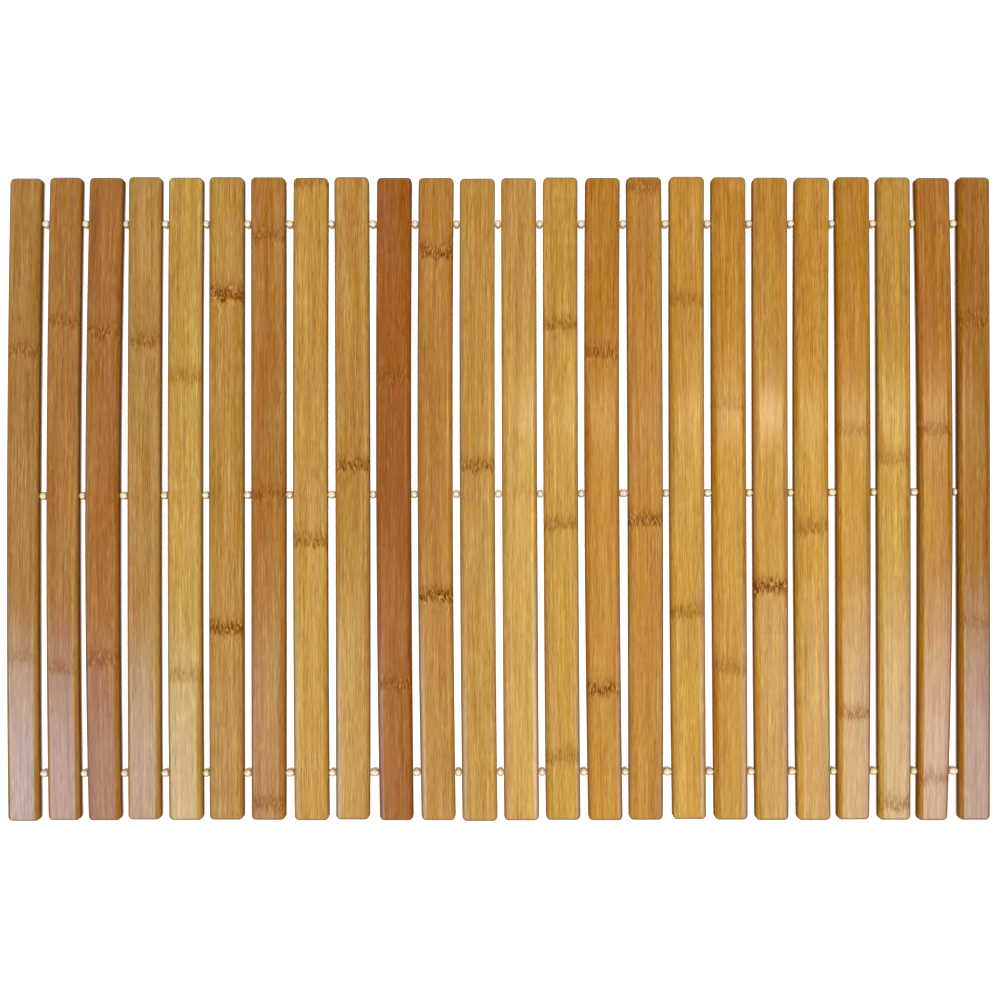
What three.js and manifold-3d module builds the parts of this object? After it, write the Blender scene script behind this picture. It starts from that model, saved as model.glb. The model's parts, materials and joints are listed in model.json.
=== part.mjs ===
// Bamboo mat: 24 flat slats threaded side by side on three cords, with a bead between each two.
// Millimetres. X runs across the slats, Y along them and Z up; the mat lies on z = 0.

import * as THREE from "three";
import { mergeVertices } from "three/addons/utils/BufferGeometryUtils.js";
import Module from "manifold-3d";

// Driving sizes

const SLAT_LENGTH = 399;
const SLAT_THICKNESS = 8;
const CORNER_RADIUS = 3;
const EDGE_ROUND = 1.7;
const CORD_DIAMETER = 1.8;
const BORE_DIAMETER = 2.6;
const BEAD_DIAMETER = 5.2;
const BEAD_CLEARANCE = 0.3;
const KNOT_DIAMETER = 3.2;
const KNOT_LENGTH = 2.4;
const KNOT_POCKET_DIAMETER = 4;
const KNOT_POCKET_DEPTH = 3;
const ROW_REACH = 170;
const DRILL_OVERRUN = 10;

// Fineness of the rounded shapes

const CORNER_STEPS = 3;
const SIDE_STEPS = 4;
const EDGE_STEPS = 2;
const BEAD_STEPS = 4;
const ROUND_SIDES = 8;

// Each row of beads: the height on the mat where it leaves the left end and the right end

const ROWS = {
  strand_far: { left: 171.0, right: 171.4 },
  strand_middle: { left: 1.9, right: 4.7 },
  strand_near: { left: -170.6, right: -168.8 },
};

// The lacquered tones that the strips are sorted into

const TONES = {
  olive: 0xa17a3c,
  russet: 0xa9703a,
  tan: 0xb17f3f,
  honey: 0xc49640,
  golden: 0xc58f38,
  amber: 0xb87a30,
  chestnut: 0x93592a,
};
const LACQUER_ROUGHNESS = 0.35;
const IVORY = 0xe9dcc0;
const BEAD_ROUGHNESS = 0.4;

// Slats from left to right. Width is measured at the middle and at the near end, gap is the space to the
// next slat at the middle, far and near are how much the ends drift to the right of the middle, and slide
// is how far the slat has slipped along its cords.

const COLUMNS = ["width", "nearWidth", "gap", "far", "near", "slide", "tone"];
const SLATS = [
  [19.9, 19.8, 4.6, 1.7, 0.5, -0.3, "olive"],
  [20.2, 20.1, 3.9, 1.8, 0.9, 0.2, "russet"],
  [21.2, 20.5, 5.0, 2.2, 1.2, 0.1, "russet"],
  [20.5, 20.5, 4.4, 0.8, 0.4, 0.6, "tan"],
  [21.3, 21.1, 4.4, 0.7, 0.7, 0.2, "honey"],
  [21.6, 21.3, 4.6, 0.2, 0.2, 0.5, "tan"],
  [21.5, 21.2, 4.4, -0.1, 0.1, 0.4, "russet"],
  [21.5, 21.4, 4.9, 0.3, 0.8, 0.1, "honey"],
  [21.4, 21.0, 3.9, -0.6, 0.2, 0.6, "tan"],
  [21.6, 21.0, 4.1, 0.3, 1.5, 0.1, "chestnut"],
  [21.8, 21.3, 4.4, 0.4, 1.7, 0.1, "golden"],
  [21.9, 21.9, 4.4, -0.1, 1.3, -0.4, "golden"],
  [21.9, 21.8, 3.9, -0.6, 1.0, 0.0, "honey"],
  [21.5, 21.5, 4.1, -0.4, 1.2, 0.3, "honey"],
  [21.5, 21.3, 5.3, 0.1, 1.7, 0.1, "amber"],
  [21.8, 21.3, 4.0, -0.9, 0.3, 0.4, "amber"],
  [21.7, 21.0, 4.6, -0.3, 1.2, 0.8, "golden"],
  [21.4, 20.9, 4.1, -0.5, 1.0, 0.5, "honey"],
  [21.7, 20.9, 3.7, -0.4, 0.8, 0.2, "golden"],
  [21.5, 21.0, 4.9, 0.2, 1.3, 0.2, "honey"],
  [21.3, 20.3, 4.0, -0.9, -0.1, 0.6, "amber"],
  [20.8, 20.3, 4.8, -0.5, 0.2, 0.4, "honey"],
  [21.3, 19.3, 3.2, -1.8, -1.5, 0.1, "amber"],
  [20.0, 19.6, 0.0, -0.5, 0.1, 0.4, "tan"],
].map((row) => Object.fromEntries(row.map((value, i) => [COLUMNS[i], value])));

// Places along the mat: each slat's middle follows from the widths and gaps before it

let edge = 0;
for (const slat of SLATS) {
  slat.x = edge + slat.width / 2;
  edge += slat.width + slat.gap;
}
const MAT_LENGTH = edge;
for (const slat of SLATS) {
  slat.x -= MAT_LENGTH / 2;
}

// How far a slat's centreline has drifted at y, from a curve through its far end, middle and near end
function driftAt(slat, y) {
  const t = y / ROW_REACH;
  return ((slat.far + slat.near) / 2) * t * t + ((slat.far - slat.near) / 2) * t;
}

// A slat's half width at y: even from the middle to the far end, and narrowing to the near end
function halfWidthAt(slat, y) {
  const t = Math.min(y, 0) / ROW_REACH;
  return (slat.width + (slat.nearWidth - slat.width) * t * t) / 2;
}

// The x of one side of a slat at y, where side is -1 for the left and 1 for the right
function sideAt(slat, side, y) {
  return slat.x + driftAt(slat, y) + side * halfWidthAt(slat, y);
}

const wasm = await Module();
wasm.setup();

// A closed geometry as a solid that can be joined and cut
function solidOf(geometry) {
  const bare = geometry.clone();
  bare.deleteAttribute("normal");
  bare.deleteAttribute("uv");
  const merged = mergeVertices(bare, 1e-4);
  const vertProperties = merged.attributes.position.array;
  const triVerts = new Uint32Array(merged.index.array);
  return new wasm.Manifold(new wasm.Mesh({ numProp: 3, vertProperties, triVerts }));
}

// A solid as a geometry with normals
function geometryOf(solid) {
  const mesh = solid.getMesh();
  const geometry = new THREE.BufferGeometry();
  geometry.setAttribute("position", new THREE.BufferAttribute(mesh.vertProperties, 3));
  geometry.setIndex(new THREE.BufferAttribute(mesh.triVerts, 1));
  geometry.computeVertexNormals();
  return geometry;
}

// Slat outline seen from above: two bowed sides and four round corners
function slatOutline(slat) {
  const cornerY = SLAT_LENGTH / 2 - CORNER_RADIUS;
  const points = [];
  for (const side of [1, -1]) {
    for (let i = 0; i <= SIDE_STEPS; i += 1) {
      const y = side * cornerY * ((2 * i) / SIDE_STEPS - 1);
      points.push(new THREE.Vector2(sideAt(slat, side, y), y));
    }
    const y = side * cornerY;
    const firstCentre = sideAt(slat, side, y) - side * CORNER_RADIUS;
    const secondCentre = sideAt(slat, -side, y) + side * CORNER_RADIUS;
    for (let i = 1; i <= CORNER_STEPS; i += 1) {
      points.push(arcPoint(firstCentre, y, side, i / CORNER_STEPS));
    }
    for (let i = 0; i < CORNER_STEPS; i += 1) {
      points.push(arcPoint(secondCentre, y, side, 1 + i / CORNER_STEPS));
    }
  }
  return new THREE.Shape(points);
}

// A point on a corner's arc, counted in quarter turns from the slat's own side
function arcPoint(centreX, centreY, side, quarters) {
  const turn = (Math.PI / 2) * quarters;
  const dx = side * CORNER_RADIUS * Math.cos(turn);
  const dy = side * CORNER_RADIUS * Math.sin(turn);
  return new THREE.Vector2(centreX + dx, centreY + dy);
}

// Slab with that outline and its top and bottom edges rounded over
function slatSlab(slat) {
  const slab = new THREE.ExtrudeGeometry(slatOutline(slat), {
    depth: SLAT_THICKNESS - 2 * EDGE_ROUND,
    bevelThickness: EDGE_ROUND,
    bevelSize: EDGE_ROUND,
    bevelOffset: -EDGE_ROUND,
    bevelSegments: EDGE_STEPS,
  });
  return slab.translate(0, slat.slide, EDGE_ROUND);
}

// Row frame: origin at the row's middle at half thickness, local Y along the cord from left to right
function rowFrame(row) {
  const tilt = Math.atan2(row.right - row.left, MAT_LENGTH);
  const frame = new THREE.Object3D();
  frame.position.set(0, (row.left + row.right) / 2, SLAT_THICKNESS / 2);
  frame.rotation.z = tilt - Math.PI / 2;
  frame.updateMatrix();
  return frame;
}

// The x of the mat's left and right outer edges where a row meets them
function outerEdges(row) {
  return [sideAt(SLATS[0], -1, row.left), sideAt(SLATS.at(-1), 1, row.right)];
}

// Drill for one row: the bore through every slat, and a pocket for the knot in each outer edge
function rowDrill(row) {
  const boreRadius = BORE_DIAMETER / 2;
  const boreLength = MAT_LENGTH + 2 * DRILL_OVERRUN;
  const bore = new THREE.CylinderGeometry(boreRadius, boreRadius, boreLength, ROUND_SIDES);
  const pocketRadius = KNOT_POCKET_DIAMETER / 2;
  const pocketLength = 2 * KNOT_POCKET_DEPTH;
  let drill = solidOf(bore.applyMatrix4(rowFrame(row).matrix));
  for (const outerEdge of outerEdges(row)) {
    const pocket = new THREE.CylinderGeometry(pocketRadius, pocketRadius, pocketLength, ROUND_SIDES);
    pocket.translate(0, outerEdge, 0);
    drill = drill.add(solidOf(pocket.applyMatrix4(rowFrame(row).matrix)));
  }
  return drill;
}

// Round swelling on the cord between two places along it: a bead or a knot
function swelling(start, end, diameter) {
  const middle = (start + end) / 2;
  const halfLength = (end - start) / 2;
  const points = [];
  for (let i = 0; i <= BEAD_STEPS; i += 1) {
    const turn = (Math.PI * i) / BEAD_STEPS;
    const radius = Math.max((diameter / 2) * Math.sin(turn), CORD_DIAMETER / 2);
    points.push(new THREE.Vector2(radius, middle - halfLength * Math.cos(turn)));
  }
  return points;
}

// Strand: one cord with its beads and end knots, turned from a single profile
function strandGeometry(row) {
  const y = (row.left + row.right) / 2;
  const knotInset = KNOT_POCKET_DEPTH - KNOT_LENGTH;
  const [leftEdge, rightEdge] = outerEdges(row);
  const leftEnd = leftEdge + knotInset;
  const rightEnd = rightEdge - knotInset;
  const profile = [new THREE.Vector2(0, leftEnd)];
  profile.push(...swelling(leftEnd, leftEnd + KNOT_LENGTH, KNOT_DIAMETER));
  for (let i = 1; i < SLATS.length; i += 1) {
    const start = sideAt(SLATS[i - 1], 1, y) + BEAD_CLEARANCE;
    const end = sideAt(SLATS[i], -1, y) - BEAD_CLEARANCE;
    profile.push(...swelling(start, end, BEAD_DIAMETER));
  }
  profile.push(...swelling(rightEnd - KNOT_LENGTH, rightEnd, KNOT_DIAMETER));
  profile.push(new THREE.Vector2(0, rightEnd));
  return new THREE.LatheGeometry(profile, ROUND_SIDES);
}

// The mat

const mat = new THREE.Group();

const drills = Object.values(ROWS).map(rowDrill);
SLATS.forEach((slat, i) => {
  let solid = solidOf(slatSlab(slat));
  for (const drill of drills) {
    solid = solid.subtract(drill);
  }
  const lacquer = new THREE.MeshStandardMaterial({ color: TONES[slat.tone], roughness: LACQUER_ROUGHNESS });
  const mesh = new THREE.Mesh(geometryOf(solid).translate(-slat.x, -slat.slide, 0), lacquer);
  mesh.name = "slat_" + String(i + 1).padStart(2, "0");
  mesh.position.set(slat.x, slat.slide, 0);
  mat.add(mesh);
});

for (const [name, row] of Object.entries(ROWS)) {
  const ivory = new THREE.MeshStandardMaterial({ color: IVORY, roughness: BEAD_ROUGHNESS });
  const strand = new THREE.Mesh(strandGeometry(row), ivory);
  const frame = rowFrame(row);
  strand.name = name;
  strand.position.copy(frame.position);
  strand.rotation.copy(frame.rotation);
  mat.add(strand);
}

// The origin is under the middle of the whole mat

const middle = new THREE.Box3().setFromObject(mat).getCenter(new THREE.Vector3());
for (const piece of mat.children) {
  piece.position.x -= middle.x;
  piece.position.y -= middle.y;
}

export default mat;
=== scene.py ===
# %% [markdown]
# # A bamboo slat mat
# Twenty-four flat strips of lacquered bamboo lie side by side. Three cords run through holes drilled across
# them, and a small ivory bead sits on the cord between each two strips, so the mat lets water through and
# can be rolled up. The packed model is the fixed frame: it says where each strip and each cord is. This
# script replaces the plain solids with finer meshes of the same form and gives them their finish.

# %% Load the packed model
import json
import math
import random

import bpy
import numpy as np
from mathutils import Matrix, Vector, noise


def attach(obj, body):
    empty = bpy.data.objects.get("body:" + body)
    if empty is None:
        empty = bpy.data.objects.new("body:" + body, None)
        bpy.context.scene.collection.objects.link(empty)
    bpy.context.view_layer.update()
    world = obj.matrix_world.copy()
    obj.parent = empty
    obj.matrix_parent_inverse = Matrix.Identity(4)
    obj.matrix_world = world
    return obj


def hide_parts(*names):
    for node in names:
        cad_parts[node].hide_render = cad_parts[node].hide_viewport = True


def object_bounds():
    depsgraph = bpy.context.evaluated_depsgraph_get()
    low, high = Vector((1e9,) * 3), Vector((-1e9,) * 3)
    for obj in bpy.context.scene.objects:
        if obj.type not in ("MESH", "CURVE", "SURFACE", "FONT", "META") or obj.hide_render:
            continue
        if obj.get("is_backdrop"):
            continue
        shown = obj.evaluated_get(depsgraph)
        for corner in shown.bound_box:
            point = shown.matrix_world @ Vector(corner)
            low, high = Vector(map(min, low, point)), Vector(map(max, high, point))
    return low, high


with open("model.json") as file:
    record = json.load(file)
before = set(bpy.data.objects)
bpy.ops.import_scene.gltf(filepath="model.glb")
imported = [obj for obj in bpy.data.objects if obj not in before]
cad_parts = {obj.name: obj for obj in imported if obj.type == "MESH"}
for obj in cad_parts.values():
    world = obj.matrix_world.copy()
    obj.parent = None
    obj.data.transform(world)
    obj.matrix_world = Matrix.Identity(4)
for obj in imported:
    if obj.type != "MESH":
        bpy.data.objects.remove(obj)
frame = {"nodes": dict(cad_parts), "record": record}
cad_low, cad_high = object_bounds()
cad_size = cad_high - cad_low
print("Packed model, in metres:", [round(side, 4) for side in cad_size])

# %% [markdown]
# ## Reading places from the frame
# Blender counts in metres, and a maker of small things in millimetres, so sizes are written as a number of
# millimetres times MM. A solid's corners can be read as an array, and everything that has to fit it is
# worked out from them. That keeps the fine mesh and the plain solid in the same place.

# %% Units and corners
MM = 0.001
TOUCH = 0.01 * MM


def corners_of(node):
    """The corners of one packed solid, as rows of x, y and z."""
    return np.array([corner.co for corner in frame["nodes"][node].data.vertices])


SLAT_NODES = sorted(name for name in frame["nodes"] if name.startswith("slat_"))
CORD_NODES = ["strand_far", "strand_middle", "strand_near"]
THICKNESS = cad_size.z
print(len(SLAT_NODES), "slats, each", round(THICKNESS / MM, 2), "mm thick, on", len(CORD_NODES), "cords")

# %% [markdown]
# ## Camera
# The mat is seen from straight above, so the camera looks down the Z axis, a little off the mat's middle.
# What decides the picture is the width that fits in the frame at the height of the mat's top: the lens is
# worked out from that width and from how far above the top the camera stands.

# %% Camera
CAMERA_ABOVE_TOP = 880 * MM
VIEW_WIDTH = 619.3 * MM
CAMERA_X = 0.9 * MM
CAMERA_Y = -0.7 * MM


def new_object(name, data):
    """An object that holds that data, linked into the scene."""
    made = bpy.data.objects.new(name, data)
    bpy.context.scene.collection.objects.link(made)
    return made


camera = new_object("camera", bpy.data.cameras.new("camera"))
camera.location = (CAMERA_X, CAMERA_Y, THICKNESS + CAMERA_ABOVE_TOP)
camera.data.lens = camera.data.sensor_width * CAMERA_ABOVE_TOP / VIEW_WIDTH
bpy.context.scene.camera = camera
print("Lens in millimetres:", round(camera.data.lens, 2))

# %% [markdown]
# ## Writing shader maths as Python
# A shader is a graph of small nodes, and a formula in it soon takes ten of them. The class Wire wraps one
# output socket and overloads the arithmetic operators, so that an expression such as 1 - mask * 0.5 adds
# its own Math nodes. Bench holds the node tree of a material or a world, and its one method adds any node.

# %% Wire and Bench
class Wire:
    """One output socket on a bench. Arithmetic on it adds Math nodes."""

    def __init__(self, bench, socket):
        self.bench = bench
        self.socket = socket

    def math(self, operation, *values):
        return self.bench.node("ShaderNodeMath", {"operation": operation}, dict(enumerate(values)))

    def __add__(self, other):
        return self.math("ADD", self, other)

    def __sub__(self, other):
        return self.math("SUBTRACT", self, other)

    def __rsub__(self, other):
        return self.math("SUBTRACT", other, self)

    def __mul__(self, other):
        return self.math("MULTIPLY", self, other)

    def __truediv__(self, other):
        return self.math("DIVIDE", self, other)

    def __rtruediv__(self, other):
        return self.math("DIVIDE", other, self)

    def __pow__(self, other):
        return self.math("POWER", self, other)

    def __rpow__(self, other):
        return self.math("POWER", other, self)

    __radd__ = __add__
    __rmul__ = __mul__


class Bench:
    """The nodes of one material or world."""

    def __init__(self, owner):
        owner.use_nodes = True
        self.tree = owner.node_tree
        self.tree.nodes.clear()

    def node(self, kind, settings, sockets, output=0):
        """Adds a node: its settings first, then the value or wire of each named or numbered socket."""
        made = self.tree.nodes.new(kind)
        for name, value in settings.items():
            if name == "stops":
                set_stops(made.color_ramp.elements, value)
            else:
                setattr(made, name, value)
        for name, value in sockets.items():
            if isinstance(value, Wire):
                self.tree.links.new(value.socket, made.inputs[name])
            else:
                made.inputs[name].default_value = value
        return Wire(self, made.outputs[output]) if made.outputs else None


def set_stops(elements, stops):
    """Gives a ramp its stops, each a place from 0 to 1 and a colour."""
    while len(elements) < len(stops):
        elements.new(0.5)
    for element, (place, colour) in zip(elements, stops):
        element.position = place
        element.color = colour


print("Wire adds", [name for name in vars(Wire) if name.startswith("__r")], "for numbers on the left")

# %% [markdown]
# ## A few helpers for finishes
# Colours are written as they look on a screen, from 0 to 255. Shaders work with light, not with screen
# values, so paint() converts them. The other helpers are what finishes are made of: a smooth step, a bell
# round zero, a mix of two colours, and the surface that ends each material. A Mix node has sockets for
# several kinds of data, so its colour sockets are found by number.

# %% Paint, steps, bells and mixes
def paint(red, green, blue):
    """A colour as it looks on a screen, turned into amounts of light."""
    def light(value):
        share = value / 255
        return share / 12.92 if share <= 0.04045 else ((share + 0.055) / 1.055) ** 2.4
    return (light(red), light(green), light(blue), 1.0)


def rise(value, low, high):
    """0 below low and 1 above high, with a smooth step between them."""
    settings = {"interpolation_type": "SMOOTHSTEP"}
    return value.bench.node("ShaderNodeMapRange", settings, {0: value, 1: low, 2: high})


def bell(value, width):
    """1 where value is 0, falling away smoothly on both sides over about width."""
    return math.e ** ((value / width) ** 2 * -1)


MIX_FIRST = 6
MIX_SECOND = 7
MIX_COLOUR = 2


def mix(share, first, second, way="MIX"):
    """Two colours blended by a share from 0 to 1."""
    settings = {"data_type": "RGBA", "blend_type": way, "clamp_factor": True}
    sockets = {0: share, MIX_FIRST: first, MIX_SECOND: second}
    return share.bench.node("ShaderNodeMix", settings, sockets, output=MIX_COLOUR)


def surface(bench, sockets):
    """Ends a material with a Principled shader that has those values and wires."""
    shader = bench.node("ShaderNodeBsdfPrincipled", {}, sockets)
    bench.node("ShaderNodeOutputMaterial", {}, {"Surface": shader})


print("A middling honey colour as light:", [round(part, 3) for part in paint(196, 150, 64)[:3]])

# %% [markdown]
# ## Table and surround
# The mat lies on a plain white table. A big quad would do, but even a table has a surface, so its material
# has a trace of mottling. A little light of its own, like a lit table in a studio, keeps the floor of the
# narrow gaps as white as the table around the mat.

# %% Table
TABLE_HALF = 12.0
TABLE_DROP = 0.05 * MM
TABLE_WHITE = paint(250, 250, 249)
TABLE_SHADE = paint(246, 246, 244)
MOTTLE_SCALE = 9.0
TABLE_GLOW = 0.3

square = [(-1, -1), (1, -1), (1, 1), (-1, 1)]
table_mesh = bpy.data.meshes.new("table")
table_corners = [(x * TABLE_HALF, y * TABLE_HALF, -TABLE_DROP) for x, y in square]
table_mesh.from_pydata(table_corners, [], [(0, 1, 2, 3)])
table = new_object("table", table_mesh)
table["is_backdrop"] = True

table_finish = bpy.data.materials.new("white_table")
bench = Bench(table_finish)
where = bench.node("ShaderNodeTexCoord", {}, {}, output="Object")
mottle = bench.node("ShaderNodeTexNoise", {}, {"Vector": where, "Scale": MOTTLE_SCALE, "Detail": 3.0})
white = mix(mottle, TABLE_WHITE, TABLE_SHADE)
table_sockets = {
    "Base Color": white,
    "Roughness": 0.8,
    "Specular IOR Level": 0.1,
    "Emission Color": white,
    "Emission Strength": TABLE_GLOW,
}
surface(bench, table_sockets)
table_mesh.materials.append(table_finish)
print("Table", 2 * TABLE_HALF, "m wide, just under the mat")

# %% [markdown]
# ## Light
# The tops of the strips are lit evenly and the sides of the strips are dark, while the gaps have no shadow
# in them. Light from straight above does that, so the main lamp is a sun that shines down the Z axis. It
# would leave a glaring spot on the lacquer, so it is kept out of glossy reflections. The surround is white to
# look at and dim as a light, which keeps the sides dark.

# %% Surround and main lamp
SUN_STRENGTH = 0.95 * math.pi
SUN_SPREAD = math.radians(4)
SURROUND_LIGHT = 0.20
SURROUND_LOOK = 1.0
WHITE_LIGHT = (1.0, 1.0, 1.0, 1.0)

world = bpy.data.worlds.new("surround")
bpy.context.scene.world = world
bench = Bench(world)
seen = bench.node("ShaderNodeLightPath", {}, {}, output="Is Camera Ray")
level = seen * (SURROUND_LOOK - SURROUND_LIGHT) + SURROUND_LIGHT
backdrop = bench.node("ShaderNodeBackground", {}, {"Color": WHITE_LIGHT, "Strength": level})
bench.node("ShaderNodeOutputWorld", {}, {"Surface": backdrop})

sun = new_object("overhead_sun", bpy.data.lights.new("overhead_sun", "SUN"))
sun.data.energy = SUN_STRENGTH
sun.data.angle = SUN_SPREAD
sun.visible_glossy = False
print("Sun:", round(SUN_STRENGTH, 2), "watts on each square metre")

# %% [markdown]
# ## Lamps that show in the lacquer
# A glossy top shows a lamp where the line of sight is mirrored towards it. So each panel is described by
# what is seen: the place on the mat where its reflection lies and how wide that reflection is. Its real
# place and size follow from the mirror rule, because the line from the camera goes down to the mat and up
# again: at height h it has run 1 + h / camera height times as far out. Each lamp hangs a little above the
# last, because of two lamps at one height only one shows where they overlap. These lamps show in the
# lacquer and nowhere else, so the shine can be set without changing the colour of the wood. The two tables
# say, in millimetres, where each is seen and how wide, then its brightness and its tint; a soft panel also
# has the width over which it fades out.

# %% Panel lamps
PANEL_HEIGHT = 1600 * MM
PANEL_STEP = 10 * MM
SOFT_LAYERS = 3
AMBER_LIGHT = (1.0, 0.94, 0.31)
STRAW_LIGHT = (1.0, 0.95, 0.45)
LAMP_LIGHT = (1.0, 0.80, 0.58)
WINDOW_LIGHT = (0.45, 0.68, 1.0)
SOFT_PANELS = [
    ["warm_panel", (148, -150), (326, 500), 3.6, AMBER_LIGHT, 45],
    ["faint_panel", (-110, -210), (210, 400), 3.2, STRAW_LIGHT, 60],
    ["window_left", (-625, -400), (1000, 640), 8.0, WINDOW_LIGHT, 55],
    ["window_right", (655, -384), (1000, 660), 6.9, WINDOW_LIGHT, 78],
]
SHARP_LAMPS = [
    ["warm_tube", (152, 52), (265, 24), 4.3, LAMP_LIGHT],
    ["small_bulb", (168, 52), (12, 22), 24.0, LAMP_LIGHT],
]


def panel_lamp(name, seen_at, seen_size, brightness, tint):
    """A flat lamp whose reflection lies at seen_at on the mat, in millimetres."""
    height = PANEL_HEIGHT + PANEL_STEP * len(bpy.data.lights)
    reach = 1 + height / CAMERA_ABOVE_TOP
    lamp = new_object(name, bpy.data.lights.new(name, "AREA"))
    lamp.data.shape = "RECTANGLE"
    lamp.data.size = seen_size[0] * MM * reach
    lamp.data.size_y = seen_size[1] * MM * reach
    lamp.data.energy = brightness * math.pi * lamp.data.size * lamp.data.size_y
    lamp.data.color = tint
    away = Vector((seen_at[0] * MM - CAMERA_X, seen_at[1] * MM - CAMERA_Y, 0)) * reach
    lamp.location = Vector((CAMERA_X, CAMERA_Y, THICKNESS + height)) + away
    lamp.visible_camera = False
    lamp.visible_diffuse = False


def soft_panel(name, seen_at, seen_size, brightness, tint, softness):
    """A panel that fades out towards its edges: a few lamps, each smaller than the last."""
    for layer in range(SOFT_LAYERS):
        size = [side - 2 * softness * layer / (SOFT_LAYERS - 1) for side in seen_size]
        panel_lamp(f"{name}_{layer}", seen_at, size, brightness / SOFT_LAYERS, tint)


for row in SOFT_PANELS:
    soft_panel(*row)
for row in SHARP_LAMPS:
    panel_lamp(*row)
print("Lamps, with the sun:", len(bpy.data.lights))

# %% [markdown]
# ## How a strip's outline is read
# A real strip isn't a perfect rectangle: it bows a little and narrows towards one end. Each packed slat has
# its widest outline where the rounded top edge meets the side wall, with five corners down each long side.
# A smooth curve through those five gives the side at any height, so that the mesh can be as fine as wished.

# %% One strip's outline
EDGE_ROUND = 1.7 * MM
CORNER = 3.0 * MM
SIDE_POWERS = 4


def side_curve(points):
    """The x of a long side as a smooth function of y."""
    return np.poly1d(np.polyfit(points[:, 1], points[:, 0], SIDE_POWERS))


class Strip:
    """The outline of one slat: its two long sides as curves, and its near and far ends."""

    def __init__(self, node):
        points = corners_of(node)
        rim = points[np.abs(points[:, 2] - (THICKNESS - EDGE_ROUND)) < TOUCH]
        self.near = rim[:, 1].min()
        self.far = rim[:, 1].max()
        inner = np.minimum(rim[:, 1] - self.near, self.far - rim[:, 1]) > CORNER - TOUCH
        straight = rim[inner]
        on_left = straight[:, 0] < straight[:, 0].mean()
        self.left = side_curve(straight[on_left])
        self.right = side_curve(straight[~on_left])


STRIPS = [Strip(node) for node in SLAT_NODES]
widths = [(strip.right(0) - strip.left(0)) / MM for strip in STRIPS]
print("Widths from", round(min(widths), 1), "to", round(max(widths), 1), "mm")

# %% [markdown]
# ## Growth rings of the cane
# A bamboo cane has a joint every 20 cm or so. Where a strip crosses one, it shows a narrow brown band of
# short strokes. The joints lie at another height on each strip, because the strips come from many canes.
# This table gives them, counted from the mat's middle in millimetres, with how strong each one is. Warmth
# turns a strip towards orange or, below zero, towards yellow; depth makes its colour fuller; lift makes it
# lighter; gloss is how much lacquer shine it has.

# %% Table of the strips
COLUMNS = ["warmth", "depth", "lift", "gloss", "rings"]
CHARACTERS = [
    [0.0, -0.02, -0.01, 1.0, [(92, 0.5), (-98, 0.3)]],
    [-0.1, -0.02, 0.02, 0.8, [(110, 0.5), (-105, 0.4)]],
    [0.2, -0.01, -0.05, 0.4, [(103, 0.5), (-100, 0.5)]],
    [0.0, -0.02, -0.05, 0.62, [(98, 0.5)]],
    [-0.5, -0.04, 0.02, 0.6, [(75, 0.4), (-110, 0.4)]],
    [-0.1, 0.0, 0.0, 0.15, [(126, 1.2), (-81, 0.8)]],
    [0.0, 0.0, 0.06, 0.4, [(163, 0.5), (2, 0.5), (-189, 0.5)]],
    [-0.1, -0.03, 0.03, 0.35, [(197, 0.4), (-26, 0.6)]],
    [0.0, 0.02, 0.01, 0.85, [(21, 0.8)]],
    [0.0, 0.03, 0.08, 0.55, [(75, 0.35), (-115, 0.5)]],
    [0.3, 0.0, -0.07, 0.9, [(152, 0.8), (-60, 1.0)]],
    [-0.2, -0.03, 0.04, 0.7, [(20, 0.65)]],
    [0.1, -0.03, 0.01, 1.3, [(5, 0.15)]],
    [-0.1, -0.01, 0.0, 0.5, [(108, 0.5), (-16, 0.45), (-160, 0.4)]],
    [0.0, 0.01, 0.03, 0.6, [(90, 0.6), (-119, 0.8)]],
    [-0.2, -0.03, 0.08, 0.25, [(194, 0.5), (-13, 0.8)]],
    [-0.2, 0.0, 0.1, 0.6, [(123, 0.4), (-71, 0.5)]],
    [0.3, 0.03, -0.04, 0.7, [(59, 0.3), (-105, 0.35)]],
    [0.0, 0.01, 0.02, 0.65, [(-55, 1.0)]],
    [0.1, 0.01, 0.03, 0.5, [(-18, 0.45)]],
    [-0.1, 0.01, 0.04, 0.85, [(43, 0.35), (-133, 0.5)]],
    [-0.1, -0.01, 0.01, 0.7, [(25, 0.35), (-189, 0.5)]],
    [0.2, 0.0, -0.02, 0.95, [(42, 0.5), (-174, 0.4)]],
    [0.8, 0.08, -0.24, 0.95, [(111, 0.5), (-76, 0.35)]],
]
CHARACTERS = [dict(zip(COLUMNS, row)) for row in CHARACTERS]
print(sum(len(character["rings"]) for character in CHARACTERS), "growth rings on", len(CHARACTERS), "strips")

# %% [markdown]
# ## The grid of a strip
# One strip could be a box with a Bevel modifier, but then its edges, its faint planing waves and the dent at
# a joint would all fight over the same few faces. Instead the top is laid out as a grid: rows along the
# strip and columns across it, close together where the surface turns and further apart where it is flat.
# Near the ends the rows get narrower along the corner's arc, so that the grid itself has round corners.

# %% Rows and columns
SIDE_EASE = 3.4 * MM
END_EASE = 1.7 * MM
EASE_DEPTH = 2.3 * MM
ROUND_TURNS = 6
CORNER_TURNS = 6
ROW_STEP = 4.5 * MM
FLAT_COLUMNS = 8
RING_ROWS = (-6, -4, -2.5, -1.2, 0, 1.2, 2.5, 4, 6)
PAST_ROUNDING = 1.2


def arc_steps(radius, turns):
    """Distances from an edge at which a quarter round of that radius turns by equal angles."""
    return [radius * (1 - math.cos(math.pi / 2 * turn / turns)) for turn in range(turns + 1)]


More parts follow.
